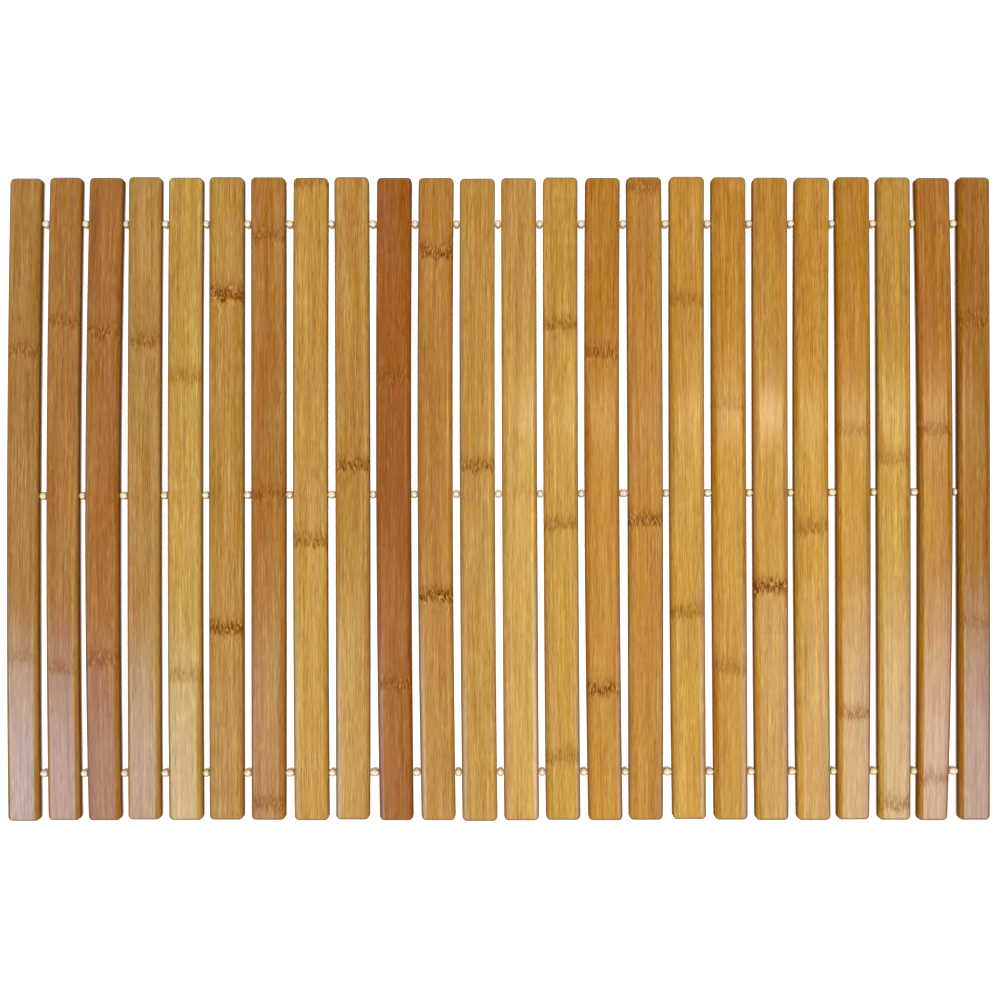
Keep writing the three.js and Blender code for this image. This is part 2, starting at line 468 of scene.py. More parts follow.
def column_shares(width):
    """Places across a strip, from 0 at its left side to 1 at its right side."""
    edge = [step / width for step in arc_steps(SIDE_EASE, ROUND_TURNS) + [PAST_ROUNDING * SIDE_EASE]]
    flat = np.linspace(edge[-1], 1 - edge[-1], FLAT_COLUMNS + 1)[1:-1]
    return np.array(edge + list(flat) + [1 - share for share in reversed(edge)])


def row_heights(strip, rings):
    """Places along a strip, from its near end to its far end."""
    end = sorted(arc_steps(END_EASE, ROUND_TURNS)[:-1] + arc_steps(CORNER, CORNER_TURNS))
    inside = list(np.arange(strip.near + 2 * CORNER, strip.far - 2 * CORNER, ROW_STEP))
    inside += [height * MM + step * MM for height, _ in rings for step in RING_ROWS]
    lowest = strip.near + PAST_ROUNDING * CORNER
    highest = strip.far - PAST_ROUNDING * CORNER
    inside = [y for y in inside if lowest < y < highest]
    rows = sorted([strip.near + step for step in end] + inside + [strip.far - step for step in end])
    return np.array([y for i, y in enumerate(rows) if i == 0 or y - rows[i - 1] > TOUCH])


sample_rows = row_heights(STRIPS[0], CHARACTERS[0]["rings"])
print(len(sample_rows), "rows and", len(column_shares(widths[0] * MM)), "columns on the first strip")

# %% [markdown]
# ## The surface of a strip
# The height of the top follows from how far a point is from the outline. Near the outline it falls along a
# quarter ellipse: a short one at the two ends, and one twice as wide along the sides, where the edge was
# eased by hand. Further in the top is level, but for two small truths about planed bamboo: it is never
# quite flat, and it dips a little where the hard joint was planed through.

# %% Heights and the closed mesh
WAVE_DEPTH = 0.05 * MM
WAVE_ACROSS = 17 * MM
WAVE_ALONG = 45 * MM
RING_DEPTH = 0.03 * MM
RING_WIDTH = 3.0 * MM


def distance_inside(strip, x, y):
    """How far points lie inside the outline, and from 0 to 1 how much the nearest edge is a long side."""
    half_width = (strip.right(y) - strip.left(y)) / 2
    middle = (strip.right(y) + strip.left(y)) / 2
    out_x = np.abs(x - middle) - (half_width - CORNER)
    out_y = CORNER - np.minimum(y - strip.near, strip.far - y)
    outside = np.hypot(np.maximum(out_x, 0), np.maximum(out_y, 0))
    inside = np.maximum(CORNER - outside - np.minimum(np.maximum(out_x, out_y), 0), 0)
    round_corner = (out_x > 0) & (out_y > 0)
    sideways = np.where(round_corner, (out_x / np.maximum(outside, TOUCH)) ** 2, out_x > out_y)
    return inside, sideways


def unevenness(x, y, rings, seed):
    """How far the planed top lies below its highest level."""
    places = zip((x / WAVE_ACROSS).flat, (y / WAVE_ALONG).flat)
    waves = [noise.noise(Vector((across, along, seed))) for across, along in places]
    dip = WAVE_DEPTH * (0.5 + 0.5 * np.array(waves).reshape(x.shape))
    for height, strength in rings:
        dip = dip + RING_DEPTH * strength * np.exp(-(((y - height * MM) / RING_WIDTH) ** 2))
    return dip


def strip_surface(strip, rings, seed):
    """Corners and faces of one strip as a closed skin: top, underside and the wall between them."""
    y = row_heights(strip, rings)
    shares = column_shares(strip.right(0) - strip.left(0))
    from_end = np.minimum(y - strip.near, strip.far - y)
    short = np.maximum(CORNER - from_end, 0)
    narrowing = CORNER - np.sqrt(np.maximum(CORNER**2 - short**2, 0))
    left = strip.left(y) + narrowing
    right = strip.right(y) - narrowing
    x = left[:, None] + shares[None, :] * (right - left)[:, None]
    y = np.repeat(y[:, None], len(shares), axis=1)
    inside, sideways = distance_inside(strip, x, y)
    reach = END_EASE + (SIDE_EASE - END_EASE) * sideways
    turn = np.clip(1 - inside / reach, 0, 1)
    drop = EASE_DEPTH * (1 - np.sqrt(1 - turn**2))
    settle = np.clip(inside / SIDE_EASE, 0, 1)
    top = THICKNESS - drop - settle * unevenness(x, y, rings, seed)
    points = [np.stack([x, y, z], axis=-1).reshape(-1, 3) for z in (top, drop)]
    return np.concatenate(points), skin_faces(*x.shape)


def skin_faces(rows, columns):
    """Quads of two grids, one over the other, with a wall round them."""
    def at(row, column):
        return row * columns + column
    under = rows * columns
    faces = []
    for row in range(rows - 1):
        for column in range(columns - 1):
            quad = [at(row, column), at(row, column + 1), at(row + 1, column + 1), at(row + 1, column)]
            faces.append(quad)
            faces.append([under + corner for corner in reversed(quad)])
    round_edge = [at(0, column) for column in range(columns - 1)]
    round_edge += [at(row, columns - 1) for row in range(rows - 1)]
    round_edge += [at(rows - 1, column) for column in range(columns - 1, 0, -1)]
    round_edge += [at(row, 0) for row in range(rows - 1, 0, -1)]
    for first, second in zip(round_edge, round_edge[1:] + round_edge[:1]):
        faces.append([under + first, under + second, second, first])
    return faces


points, faces = strip_surface(STRIPS[0], CHARACTERS[0]["rings"], 0)
print("First strip:", len(points), "corners,", len(faces), "faces")

# %% [markdown]
# ## Turned shapes
# Drills, beads and their like are round about one axis, so one function turns a profile about it, as a lathe
# does. The profile is a list of places along the axis, each with a radius. A closed profile makes a ring
# with a hole; an open one gets a flat cap at each end.

# %% Lathe
def turned(profile, sides, closed):
    """Corners and faces of a profile turned about the X axis."""
    angles = [2 * math.pi * side / sides for side in range(sides)]
    circle = [(math.cos(angle), math.sin(angle)) for angle in angles]
    points = [(along, radius * side, radius * up) for along, radius in profile for side, up in circle]
    rings = len(profile)
    faces = []
    for ring in range(rings if closed else rings - 1):
        here, there = ring * sides, (ring + 1) % rings * sides
        for side in range(sides):
            following = (side + 1) % sides
            faces.append([here + side, here + following, there + following, there + side])
    if not closed:
        faces.append(list(reversed(range(sides))))
        faces.append(list(range((rings - 1) * sides, rings * sides)))
    return points, faces


def new_piece(name, points, faces):
    """A new object with that mesh, shaded smoothly but for its sharp edges."""
    mesh = bpy.data.meshes.new(name)
    mesh.from_pydata([tuple(point) for point in points], [], faces)
    mesh.shade_smooth()
    return new_object(name, mesh)


rod_points, rod_faces = turned([(0, 1), (1, 1)], 8, closed=False)
print("A rod of 8 sides has", len(rod_points), "corners and", len(rod_faces), "faces")

# %% [markdown]
# ## Rows of holes
# Each cord follows a straight line, read from the two ends of its solid. The drill for it is turned from one
# profile: thin for most of its length, and wider at both ends, where it sinks a pocket for the knot into the
# outer strip. One object holds all three drills, and a Boolean modifier takes it out of each strip.

# %% Cord lines and drills
BORE_RADIUS = 1.3 * MM
POCKET_RADIUS = 2.0 * MM
POCKET_DEPTH = 3.0 * MM
DRILL_OVERRUN = 5.0 * MM
DRILL_SIDES = 24


class CordLine:
    """The straight line of one cord, from the left knot's outer end to the right knot's."""

    def __init__(self, node):
        points = corners_of(node)
        x = points[:, 0]
        ends = [points[x < x.min() + TOUCH], points[x > x.max() - TOUCH]]
        self.left, self.right = [Vector((end.min(axis=0) + end.max(axis=0)) / 2) for end in ends]
        self.length = (self.right - self.left).length
        across = self.right - self.left
        turn = Matrix.Rotation(math.atan2(across.y, across.x), 4, "Z")
        self.place = Matrix.Translation(self.left) @ turn

    def y_at(self, x):
        share = (x - self.left.x) / (self.right.x - self.left.x)
        return self.left.y + share * (self.right.y - self.left.y)


CORDS = [CordLine(node) for node in CORD_NODES]


def drill_profile(cord):
    """Places along the cord with the drill's radius, from one outer side of the mat to the other."""
    left_edge = STRIPS[0].left(cord.left.y) - cord.left.x
    right_edge = STRIPS[-1].right(cord.right.y) - cord.left.x
    return [
        (left_edge - DRILL_OVERRUN, POCKET_RADIUS),
        (left_edge + POCKET_DEPTH, POCKET_RADIUS),
        (left_edge + POCKET_DEPTH, BORE_RADIUS),
        (right_edge - POCKET_DEPTH, BORE_RADIUS),
        (right_edge - POCKET_DEPTH, POCKET_RADIUS),
        (right_edge + DRILL_OVERRUN, POCKET_RADIUS),
    ]


def add_shape(points, faces, shape, place):
    """Adds a shape's corners, moved to their place, and its faces to those of a piece."""
    start = len(points)
    points += [place @ Vector(point) for point in shape[0]]
    faces += [[start + corner for corner in face] for face in shape[1]]


drill_points, drill_faces = [], []
for cord in CORDS:
    drill = turned(drill_profile(cord), DRILL_SIDES, closed=False)
    add_shape(drill_points, drill_faces, drill, cord.place)
drills = new_piece("drills", drill_points, drill_faces)
print("Cord lines, in mm:", [round(cord.length / MM, 1) for cord in CORDS])

# %% [markdown]
# ## What the finish has to know
# Grain runs along each strip and follows its bow, so the finish can't be painted by plain x and y. Each mesh
# carries its own map instead, as attributes on its corners: how far across, along and up a point is; how far
# it is from the side, from the end and from the nearest growth ring; and the character of its strip. Two
# more tell how the edges are finished: on the rounding that faces the mat's middle the lacquer is thin, and
# the ends and the rounding that faces away get a greyer, darker rim of painted shade. A ring's mark keeps
# its strength for half of its reach.

# %% Attributes of a strip
RING_FADE = 30 * MM
STRIP_OFFSET = 613.0
BARE_EDGE = 2.0 * MM
FULL_GLOSS = 3.5 * MM
SHADE_RIM_SIDE = 1.8 * MM
SHADE_RIM_END = 2.8 * MM


def write_attribute(mesh, name, kind, values):
    """Stores one number or one vector for each corner of a mesh."""
    attribute = mesh.attributes.new(name, kind, "POINT")
    field = "value" if kind == "FLOAT" else "vector"
    attribute.data.foreach_set(field, np.asarray(values, np.float32).ravel())


def smooth_share(distance, reach):
    """0 at a distance of nothing and 1 at reach or more, with a smooth step between them."""
    share = np.clip(distance / reach, 0, 1)
    return share * share * (3 - 2 * share)


def mark_strip(mesh, strip, character, number):
    """Writes what the bamboo finish reads, in millimetres."""
    place = np.array([corner.co for corner in mesh.vertices])
    x, y, z = place.T
    left, right = strip.left(y), strip.right(y)
    from_side = np.maximum(np.minimum(x - left, right - x), 0)
    from_end = np.maximum(np.minimum(y - strip.near, strip.far - y), 0)
    from_ring = np.full(len(y), RING_FADE)
    strength = np.zeros(len(y))
    for height, ring_strength in character["rings"]:
        away = y - height * MM
        near = np.abs(away) < RING_FADE
        from_ring = np.where(near, away, from_ring)
        fade = np.clip(2 - 2 * np.abs(away) / RING_FADE, 0, 1)
        strength = np.where(near, ring_strength * fade, strength)
    grain = np.stack([x - (left + right) / 2, y + STRIP_OFFSET * number * MM, z], axis=1) / MM
    marks = np.stack([from_side, from_end, from_ring], axis=1) / MM
    cast = np.tile([character["warmth"], character["depth"], character["lift"]], (len(y), 1))
    inner_edge = np.where(left + right < 0, right - x, x - left)
    brushed = np.clip((inner_edge - BARE_EDGE) / (FULL_GLOSS - BARE_EDGE), 0, 1)
    # Painted shade: a greyer, darker rim on the ends and on the rounding that faces away from the middle.
    outer_edge = np.maximum(right - left - inner_edge, 0)
    worn = 1 - smooth_share(outer_edge, SHADE_RIM_SIDE) * smooth_share(from_end, SHADE_RIM_END)
    write_attribute(mesh, "grain", "FLOAT_VECTOR", grain)
    write_attribute(mesh, "marks", "FLOAT_VECTOR", marks)
    write_attribute(mesh, "cast", "FLOAT_VECTOR", cast)
    write_attribute(mesh, "ring", "FLOAT", strength)
    write_attribute(mesh, "gloss", "FLOAT", character["gloss"] * brushed)
    write_attribute(mesh, "worn", "FLOAT", worn)


print("A growth ring's mark reaches", RING_FADE / MM, "mm each way")

# %% [markdown]
# ## Making the strips
# Each strip is built, drilled, marked and set to ride with the mat. The drilling uses the exact solver,
# because the hole leaves through a narrow wall and has to meet it cleanly. The result is kept as a plain
# mesh, so nothing is left to be worked out later.

# %% Build the 24 strips
SHARP = math.radians(35)


def drill_out(piece):
    """Takes the drills out of a piece and keeps the result."""
    cut = piece.modifiers.new("holes", "BOOLEAN")
    cut.operation = "DIFFERENCE"
    cut.solver = "EXACT"
    cut.object = drills
    bpy.context.view_layer.update()
    seen_through = piece.evaluated_get(bpy.context.evaluated_depsgraph_get())
    drilled = bpy.data.meshes.new_from_object(seen_through)
    piece.modifiers.clear()
    piece.data = drilled
    drilled.set_sharp_from_angle(angle=SHARP)


strip_pieces = []
for number, (node, strip, character) in enumerate(zip(SLAT_NODES, STRIPS, CHARACTERS), start=1):
    piece = new_piece(node.replace("slat", "bamboo_strip"), *strip_surface(strip, character["rings"], number))
    drill_out(piece)
    mark_strip(piece.data, strip, character, number)
    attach(piece, "root")
    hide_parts(node)
    strip_pieces.append(piece)
bpy.data.objects.remove(drills)
print(sum(len(piece.data.polygons) for piece in strip_pieces), "faces on", len(strip_pieces), "strips")

# %% [markdown]
# ## Grain
# Bamboo has no rings like a tree's. It is a bundle of long fibres, so its grain is streaks, straight and
# very long for their width. A photographed texture would repeat. Noise makes streaks of any size when it is
# squeezed across the strip and drawn out along it. Each kind has a width and a length in millimetres, a
# shift that keeps it apart from the others, and a detail: more of it adds smaller streaks to the main ones.

# %% Streaks
BROAD_BANDS = (6.0, 190.0, 3.0, 2.0)
MIDDLE_STREAKS = (1.6, 70.0, 11.0, 2.0)
HAIRS = (0.62, 60.0, 37.0, 1.0)
FINE_FIBRES = (0.60, 9.0, 23.0, 1.0)


def streaks(spot, kind):
    """Noise from 0 to 1, drawn out into one kind of streak."""
    across, along, height = spot
    width, length, shift, detail = kind
    sockets = {0: across / width + shift, 1: along / length + shift, 2: height / width}
    drawn_out = across.bench.node("ShaderNodeCombineXYZ", {}, sockets)
    return across.bench.node("ShaderNodeTexNoise", {}, {"Vector": drawn_out, "Scale": 1.0, "Detail": detail})


def attribute(bench, name, output="Fac"):
    """A wire from one of the attributes that a mesh carries."""
    return bench.node("ShaderNodeAttribute", {"attribute_name": name}, {}, output=output)


def three_parts(bench, name):
    """The three numbers of a vector that a mesh carries."""
    vector = attribute(bench, name, output="Vector")
    first = bench.node("ShaderNodeSeparateXYZ", {}, {0: vector})
    return [Wire(bench, socket) for socket in first.socket.node.outputs]


print("The longest streaks run", BROAD_BANDS[1], "mm and the finest are", FINE_FIBRES[0], "mm wide")

# %% [markdown]
# ## The joint's band
# Close up, the band at a joint is a row of short slanting strokes, dark and pale, like rough stitching. It
# has a fairly sharp lower edge, fades away above, and wanders a little as it crosses the strip. So the
# distance to the ring is first shifted by slow noise and by ragged noise, then a band with one sharp side
# is cut up by two kinds of short streak. All distances are in millimetres from the middle of the ring.

# %% Growth ring masks
BAND_WANDER = (5.0, 400.0, 7.0, 2.0)
BAND_RAGS = (0.7, 300.0, 71.0, 1.0)
DARK_STROKES = (0.65, 4.6, 17.0, 1.0)
PALE_STROKES = (0.60, 4.0, 29.0, 1.0)
WANDER_SIZE = 6.0
RAG_SIZE = 14.0
BAND_BELOW = (-4.4, -2.4)
BAND_ABOVE = (1.5, 8.0)
SHADE_BELOW = (-4.0, -2.0)
SHADE_ABOVE = (0.0, 14.0)
AROUND_REACH = 9.0
DARK_CUT = (0.40, 0.60)
PALE_CUT = (0.52, 0.66)


def ring_masks(spot, from_ring, strength):
    """Masks of the brown band with its shade, and of the pale strokes."""
    place = from_ring + (streaks(spot, BAND_WANDER) - 0.5) * WANDER_SIZE
    torn = place + (streaks(spot, BAND_RAGS) - 0.5) * RAG_SIZE
    band = rise(torn, *BAND_BELOW) * (1 - rise(torn, *BAND_ABOVE)) * strength
    shade = rise(place, *SHADE_BELOW) * (1 - rise(place, *SHADE_ABOVE)) * strength
    around = bell(place, AROUND_REACH) * strength
    dark = rise(streaks(spot, DARK_STROKES), *DARK_CUT)
    light = rise(streaks(spot, PALE_STROKES), *PALE_CUT)
    brown = band * (dark * 0.62 + 0.26) + around * dark * 0.14 + shade * 0.25
    pale = (band * 0.8 + around * 0.5) * light
    return brown, pale


print("A band reaches from", BAND_BELOW[0], "to", BAND_ABOVE[1], "mm, and its shade up to", SHADE_ABOVE[1])

# %% [markdown]
# ## The wood's colour
# Seen close, the wood is never one colour: fibres crowd into deep lines, paler wood lies between them, and
# some patches are livelier than others. A noise for each colour would give blotches that don't belong
# together, so the sum of the streaks is one tone, and a ramp turns it into colour. Thin dark threads and
# pale glints are laid over that. Every colour is the body colour times three factors, so one ramp serves all.

# %% Colour from streaks
LIVELY_PATCHES = (8.0, 34.0, 131.0, 2.0)
DARK_THREADS = (0.5, 7.0, 41.0, 1.0)
PALE_GLINTS = (0.5, 9.0, 53.0, 1.0)
ORANGE_PATCHES = (3.2, 60.0, 67.0, 2.0)
FULL_PATCHES = (2.2, 45.0, 97.0, 2.0)
RAMP = [
    (0.34, (0.68, 0.55, 0.32)),
    (0.46, (0.92, 0.88, 0.78)),
    (0.54, (1.06, 1.09, 1.19)),
    (0.66, (1.32, 1.52, 2.20)),
]
THREAD_CUT = (0.58, 0.72)
THREAD_TINT = (0.57, 0.38, 0.06)
THREAD_STRENGTH = 0.42
GLINT_CUT = (0.60, 0.74)
GLINT_TINT = (1.38, 1.60, 2.30)
GLINT_STRENGTH = 0.40
HUE_TURN = 0.02


def tinged(colour, factors):
    """A colour with its light multiplied by a factor for each of its three parts."""
    return tuple(part * factor for part, factor in zip(colour, factors)) + (1.0,)


def fibre_colour(spot, body):
    """The bare wood's colour, and the streaks that give its relief."""
    broad = streaks(spot, BROAD_BANDS)
    middle = streaks(spot, MIDDLE_STREAKS)
    hairs = streaks(spot, HAIRS)
    fine = streaks(spot, FINE_FIBRES)
    lively = streaks(spot, LIVELY_PATCHES) * 2.2 - 0.1
    short = (hairs * 0.26 + fine * 0.34 - 0.30) * lively
    tone = broad * 0.24 + middle * 0.30 + short + 0.23
    stops = [(place, tinged(body, factors)) for place, factors in RAMP]
    wood = tone.bench.node("ShaderNodeValToRGB", {"stops": stops}, {0: tone})
    threads = rise(streaks(spot, DARK_THREADS), *THREAD_CUT)
    glints = rise(streaks(spot, PALE_GLINTS), *GLINT_CUT)
    wood = mix(threads * THREAD_STRENGTH, wood, tinged(body, THREAD_TINT))
    wood = mix(glints * GLINT_STRENGTH, wood, tinged(body, GLINT_TINT))
    return wood, middle * 0.2 + hairs * 0.4 + fine * 0.4


def own_shift(spot, wood):
    """The colour shifted by the strip's own character and by patches along the grain."""
    bench = wood.bench
    warmth, depth, lift = three_parts(bench, "cast")
    orange = streaks(spot, ORANGE_PATCHES) - 0.5
    fuller = streaks(spot, FULL_PATCHES) - 0.5
    shift = {
        "Hue": 0.5 - (warmth + orange * 1.7) * HUE_TURN,
        "Saturation": depth + fuller * 0.18 + 1.0,
        "Value": lift + 1.0,
        "Fac": 1.0,
        "Color": wood,
    }
    return bench.node("ShaderNodeHueSaturation", {}, shift)


print("The ramp runs over tones from", RAMP[0][0], "to", RAMP[-1][0])

# %% [markdown]
# ## Sides, ends and rims
# The side walls and end faces are coloured a darker brown than the top, and on the end faces the cut fibres
# show as dark dots. The eased rounding gets a little painted shade, and the ends and the rounding that faces
# away from the mat's middle get a greyer, darker rim of painted shade. The walls could have a material of
# their own, but then the darker brown would stop at a hard line. Masks made from the distances that each
# corner carries fade it out instead. Voronoi cells, a little wider than high, make the dots. All reaches are
# in millimetres.

# %% Masks of the edges
SAWN_FACE_BROWN = paint(150, 97, 45)
# The next two colours are painted shade: a grey rim and a darker eased rounding.
RIM_SHADE_GREY = paint(121, 115, 88)
EASED_SHADE_TINT = (0.35, 0.40, 0.55)
PORE_TINT = (0.35, 0.35, 0.35)
EASED_SIDE = (0.1, 2.2)
EASED_END = (0.0, 1.5)
SAWN_EDGE = (0.0, 0.5)
WALL_MIDDLE = 4.0
WALL_REACH = 2.4
PORE_WIDTH = 0.9
PORE_HEIGHT = 0.7
PORE_CUT = (0.18, 0.42)
PORE_DEPTH = (0.02, 0.5)


def sawn_faces(from_side, from_end, height):
    """1 on the side walls and end faces, and 0 on the top."""
    edge = 1 - rise(from_side, *SAWN_EDGE) * rise(from_end, *SAWN_EDGE)
    return edge * bell(height - WALL_MIDDLE, WALL_REACH)


def end_pores(spot, from_end):
    """Dark dots on the end faces, where the cut fibres show."""
    across, _, height = spot
    sockets = {0: across / PORE_WIDTH, 1: 0.0, 2: height / PORE_HEIGHT}
    face = across.bench.node("ShaderNodeCombineXYZ", {}, sockets)
    cells = across.bench.node("ShaderNodeTexVoronoi", {}, {"Vector": face, "Scale": 1.0})
    return (1 - rise(cells, *PORE_CUT)) * (1 - rise(from_end, *PORE_DEPTH)) * 0.7


def shaded_and_browned_edges(wood, body, spot, from_side, from_end, sawn):
    """The wood with painted shade on its eased edges and rim, and its sawn faces and pores coloured darker.
    """
    eased = 1 - rise(from_side, *EASED_SIDE) * rise(from_end, *EASED_END)
    worn = attribute(wood.bench, "worn")
    # Painted shade: the eased rounding is made a little darker.
    wood = mix(eased * 0.14, wood, tinged(body, EASED_SHADE_TINT))
    # Painted shade: a greyer, darker rim on the ends and the outer rounding.
    wood = mix(worn * 0.6, wood, RIM_SHADE_GREY)
    # The side walls and end faces are coloured a darker brown than the top.
    wood = mix(sawn * 0.82, wood, SAWN_FACE_BROWN)
    return mix(end_pores(spot, from_end), wood, tinged(SAWN_FACE_BROWN, PORE_TINT))


print("The stain of the sawn faces reaches", SAWN_EDGE[1], "mm in from the edge")

# %% [markdown]
# ## Lacquered bamboo
# The parts come together here: the wood's colour, the band of the joint, whose strokes slant because the
# fibres swerve there, and the stained edges. Lacquer could be faked with a low roughness on the wood, but
# real lacquer is a layer of its own, so it is a clear coat over a matt body. It is a little uneven along the
# grain, as brushed lacquer is, thinner towards the edges, and all the shine comes from it. The relief is
# that of the fibres, with faint marks left across them by the plane.

# %% Bamboo material
SLANT = (2.4, 7.0, 5.0, 1.0)
SLANT_REACH = 10.0
PLANE_MARKS = (5.0, 1.1, 83.0, 1.0)
RING_BROWN = paint(118, 58, 6)
RING_DEEPEN = (1.0, 0.94, 0.58, 1.0)
RING_PALE = paint(222, 176, 102)
RELIEF_DEPTH = 0.05 * MM
LACQUER_SIDE = (0.3, 2.6)
LACQUER_END = (0.0, 0.4)


def bamboo(name, body):
    """The material of one tone of lacquered bamboo."""
    material = bpy.data.materials.new(name)
    bench = Bench(material)
    across, along, height = three_parts(bench, "grain")
    from_side, from_end, from_ring = three_parts(bench, "marks")
    strength = attribute(bench, "ring")
    near_ring = bell(from_ring, SLANT_REACH) * strength
    slant = (streaks((across, along, height), SLANT) - 0.5) * (near_ring * 5.0 + 0.15)
    spot = (across + slant, along, height)
    brown, pale = ring_masks(spot, from_ring, strength)
    sawn = sawn_faces(from_side, from_end, height)
    wood, fibres = fibre_colour(spot, body)
    wood = own_shift(spot, wood)
    wood = mix(brown, wood, RING_BROWN)
    wood = mix(brown, wood, RING_DEEPEN, "MULTIPLY")
    wood = mix(pale * 0.48, wood, RING_PALE)
    wood = shaded_and_browned_edges(wood, body, spot, from_side, from_end, sawn)
    relief = fibres * 0.8 + streaks(spot, PLANE_MARKS) * 0.25
    bump = bench.node("ShaderNodeBump", {}, {"Strength": 0.6, "Distance": RELIEF_DEPTH, "Height": relief})
    brushed = attribute(bench, "gloss") * (fibres * 0.8 + 0.6)
    lacquer = brushed * rise(from_side, *LACQUER_SIDE) * rise(from_end, *LACQUER_END)
    sockets = {
        "Base Color": wood,
        "Roughness": 0.55 - fibres * 0.15 + brown * 0.15 + sawn * 0.30,
        "Specular IOR Level": 0.0,
        "Coat Weight": lacquer * (1 - brown),
        "Coat Roughness": 0.11,
        "Coat IOR": 1.5,
        "Normal": bump,
    }
    surface(bench, sockets)
    return material


print("Fibres stand up to", RELIEF_DEPTH / MM, "mm out of the wood")

# %% [markdown]
# ## Seven tones
# The record sorts the strips into seven tones, as a maker sorts bamboo. Each strip could have a material of
# its own, but the tones need only seven, made by one function from one body colour each. What sets two
# strips of a tone apart comes from the attributes that they carry.

# %% Tones on the strips
TONES = {
    "bamboo_olive": paint(164, 117, 54),
    "bamboo_russet": paint(159, 107, 48),
    "bamboo_tan": paint(173, 128, 62),
    "bamboo_honey": paint(181, 133, 56),
    "bamboo_golden": paint(176, 126, 53),
    "bamboo_amber": paint(170, 114, 42),
    "bamboo_chestnut": paint(143, 85, 40),
}
FINISHES = {name: bamboo(name, body) for name, body in TONES.items()}
slots = {row["node"]: row["material_slot"] for row in frame["record"]["subparts"]}
for node, piece in zip(SLAT_NODES, strip_pieces):
    piece.data.materials.clear()
    piece.data.materials.append(FINISHES[slots[node]])
print(len(FINISHES), "tones, each of", len(FINISHES["bamboo_tan"].node_tree.nodes), "nodes")

# %% [markdown]
# ## Beads
# Each bead is a small turned ball with its two ends cut flat and a hole for the cord. It is as long as its
# gap less a little play on both sides, so no two are quite alike. The 23 beads of a row are one mesh,
# because they share one cord and one finish. Each keeps a tint of its own as an attribute, and another
# attribute tells how low a point lies on its bead, where the finish paints shade.

# %% Bead meshes
BEAD_RADIUS = 2.6 * MM
BEAD_HOLE = 1.05 * MM
BEAD_PLAY = 0.3 * MM
BEAD_SIDES = 28
BEAD_STEPS = 6
BEAD_CUT = 0.78
BEAD_RIM = 0.15 * MM
TINT_SEED = 11


def bead_profile(start, end):
    """A ball with both ends cut flat and their rims softened, and a straight hole."""
    middle, half = (start + end) / 2, (end - start) / 2
    places = [math.sin(math.pi / 2 * step / BEAD_STEPS) for step in range(-BEAD_STEPS, BEAD_STEPS + 1)]
    ball = [BEAD_RADIUS * math.sqrt(1 - (BEAD_CUT * place) ** 2) for place in places]
    outer = [(middle + half * place, radius) for place, radius in zip(places, ball)]
    rim = outer[0][1]
    bevel = [BEAD_HOLE, rim - 2 * BEAD_RIM, rim - BEAD_RIM / 2]
    inset = [BEAD_RIM, 0.0, BEAD_RIM / 3]
    outer[0] = (start + BEAD_RIM, rim)
    outer[-1] = (end - BEAD_RIM, rim)
    left = [(start + step, radius) for step, radius in zip(inset, bevel)]
    right = [(end - step, radius) for step, radius in zip(inset, bevel)]
    return left + outer + right[::-1]


def bead_row(name, cord, rng):
    """All the beads on one cord as a single mesh, with a tint for each."""
    points, faces, tints, lows = [], [], [], []
    for before, after in zip(STRIPS, STRIPS[1:]):
        y = cord.y_at(before.right(cord.left.y))
        start = before.right(y) + BEAD_PLAY - cord.left.x
        end = after.left(y) - BEAD_PLAY - cord.left.x
        bead = turned(bead_profile(start, end), BEAD_SIDES, closed=True)
        add_shape(points, faces, bead, cord.place)
        tints += [rng.random()] * len(bead[0])
        # How low each point lies on its bead, which the finish uses to paint shade.
        lows += [1 - max(point[2], 0) / BEAD_RADIUS for point in bead[0]]
    beads = new_piece(name, points, faces)
    write_attribute(beads.data, "tint", "FLOAT", tints)
    write_attribute(beads.data, "low", "FLOAT", lows)
    return beads


rng = random.Random(TINT_SEED)
bead_rows = [bead_row(node.replace("strand", "beads"), cord, rng) for node, cord in zip(CORD_NODES, CORDS)]
print(len(bead_rows) * (len(STRIPS) - 1), "beads,", len(bead_rows[0].data.polygons), "faces in each row")

# %% [markdown]
# ## Bead finish
# The beads look like ivory: creamy, a little yellow or pink from one to the next, and glossy. The tint of
# each bead picks its place on a ramp of creams, and soft noise keeps any one bead from being a single
# colour and adds a little brown here and there. The low attribute brings in the same brown as painted shade
# on the sides and the lower half of each bead.

# %% Ivory material
CREAMS = [(0.0, paint(234, 206, 146)), (0.5, paint(240, 225, 192)), (1.0, paint(236, 202, 180))]
# Brown of a little random dirt and of the painted shade low on the beads.
DIRT_AND_SHADE_BROWN = paint(132, 98, 56)
CLOUD_SCALE = 700.0
CLOUD_CUT = (0.52, 0.75)
LOW_SHADE_CUT = (0.15, 0.75)

ivory = bpy.data.materials.new("ivory_bead")
bench = Bench(ivory)
here = bench.node("ShaderNodeTexCoord", {}, {}, output="Object")
cloud = bench.node("ShaderNodeTexNoise", {}, {"Vector": here, "Scale": CLOUD_SCALE, "Detail": 3.0})
tint = attribute(bench, "tint") * 0.75 + cloud * 0.5 - 0.12
cream = bench.node("ShaderNodeValToRGB", {"stops": CREAMS}, {0: tint})
